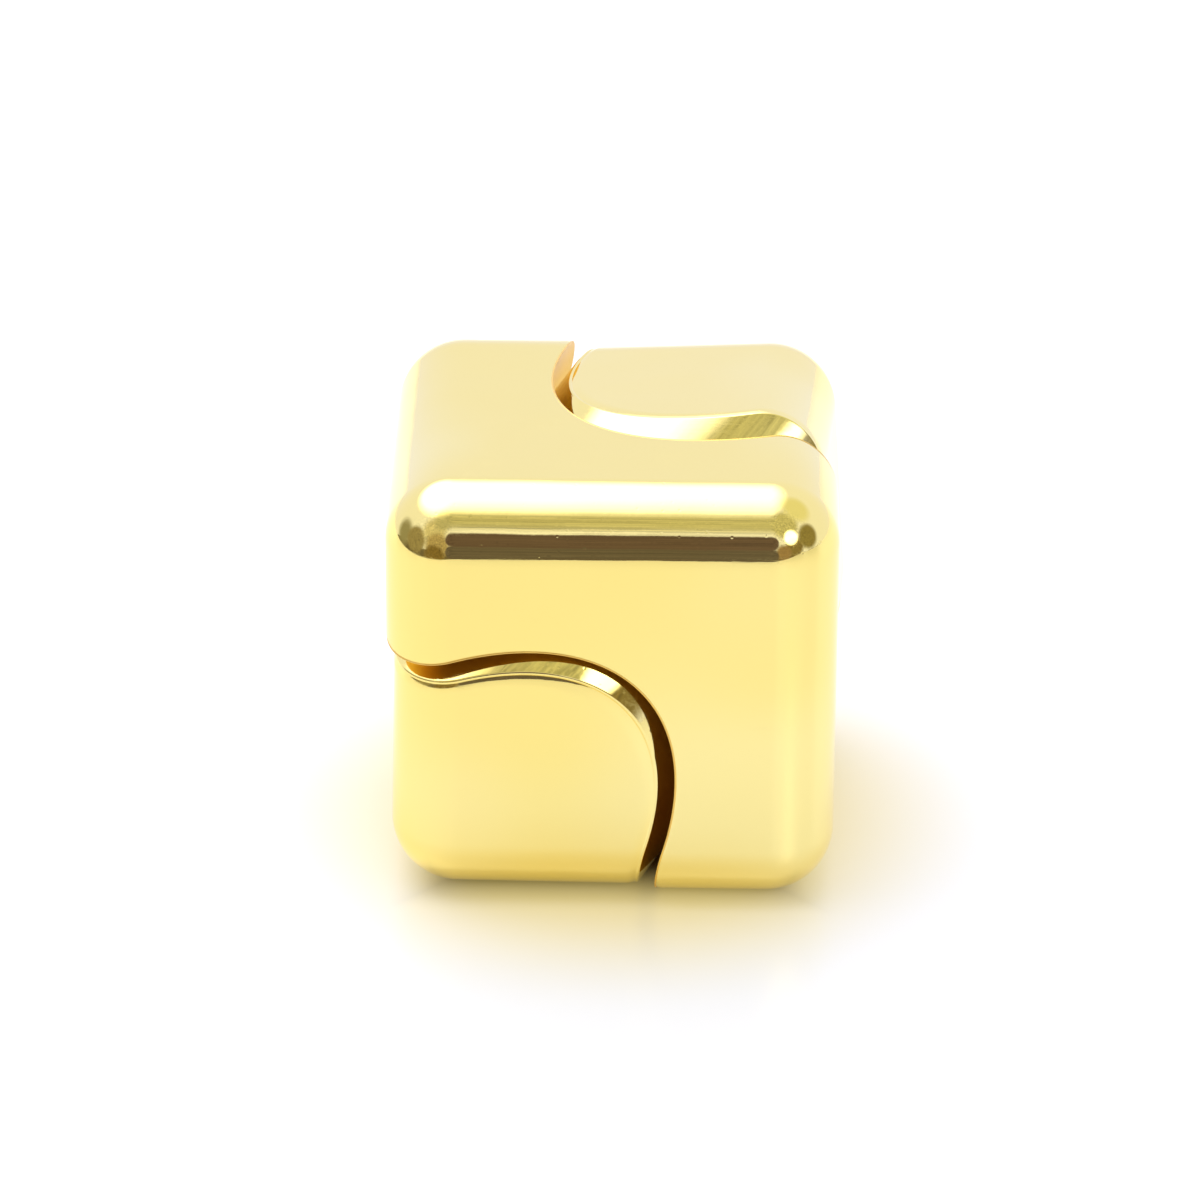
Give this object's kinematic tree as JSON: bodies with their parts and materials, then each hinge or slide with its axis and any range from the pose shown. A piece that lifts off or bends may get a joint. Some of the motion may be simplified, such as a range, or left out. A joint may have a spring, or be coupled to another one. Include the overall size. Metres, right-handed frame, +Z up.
{
  "type": "spinning fidget cube",
  "caption": "Small polished gold-coloured metal cube whose body spins about its own corner-to-corner diagonal, held by two opposite corner caps on a hidden ball bearing.",
  "frame": {"origin": "centre of the outer body's bottom face, on the surface that the cube stands on", "axes": "+Z up, +X to the right and +Y to the back, each square to a pair of the cube's faces. The spin axis is the body diagonal (1, 1, 1) through (0, 0, 0.011)."},
  "size_m": [0.0226, 0.0226, 0.0226],
  "materials": {
    "gold_plate": "polished",
    "bearing_steel": "polished",
    "pin_steel": "satin",
    "cage_brass": "satin",
    "shield_steel": "satin"
  },
  "bodies": {
    "shell": {"outer_body": "gold_plate", "bearing_outer_ring": "bearing_steel", "bearing_shield_upper": "shield_steel", "bearing_shield_lower": "shield_steel", "shield_clip_upper": "pin_steel", "shield_clip_lower": "pin_steel"},
    "spindle": {"corner_cap_lower": "gold_plate", "corner_cap_upper": "gold_plate", "axle_pin": "pin_steel", "shim_washer_upper": "pin_steel", "shim_washer_lower": "pin_steel", "bearing_inner_ring": "bearing_steel"},
    "ball_train": {"bearing_cage": "cage_brass", "bearing_ball_01": "bearing_steel", "bearing_ball_02": "bearing_steel", "bearing_ball_03": "bearing_steel", "bearing_ball_04": "bearing_steel", "bearing_ball_05": "bearing_steel", "bearing_ball_06": "bearing_steel", "bearing_ball_07": "bearing_steel", "bearing_ball_08": "bearing_steel", "bearing_ball_09": "bearing_steel", "bearing_ball_10": "bearing_steel"}
  },
  "joints": [
    {"name": "spindle_spin", "type": "hinge", "parent": "shell", "child": "spindle", "pos_m": [0, 0, 0.011], "axis": [0.5774, 0.5774, 0.5774], "continuous": true},
    {"name": "ball_train_spin", "type": "hinge", "parent": "shell", "child": "ball_train", "pos_m": [0, 0, 0.011], "axis": [0.5774, 0.5774, 0.5774], "continuous": true}
  ],
  "couplings": [
    {"joint": "ball_train_spin", "follows": "spindle_spin", "ratio": 0.4166}
  ]
}
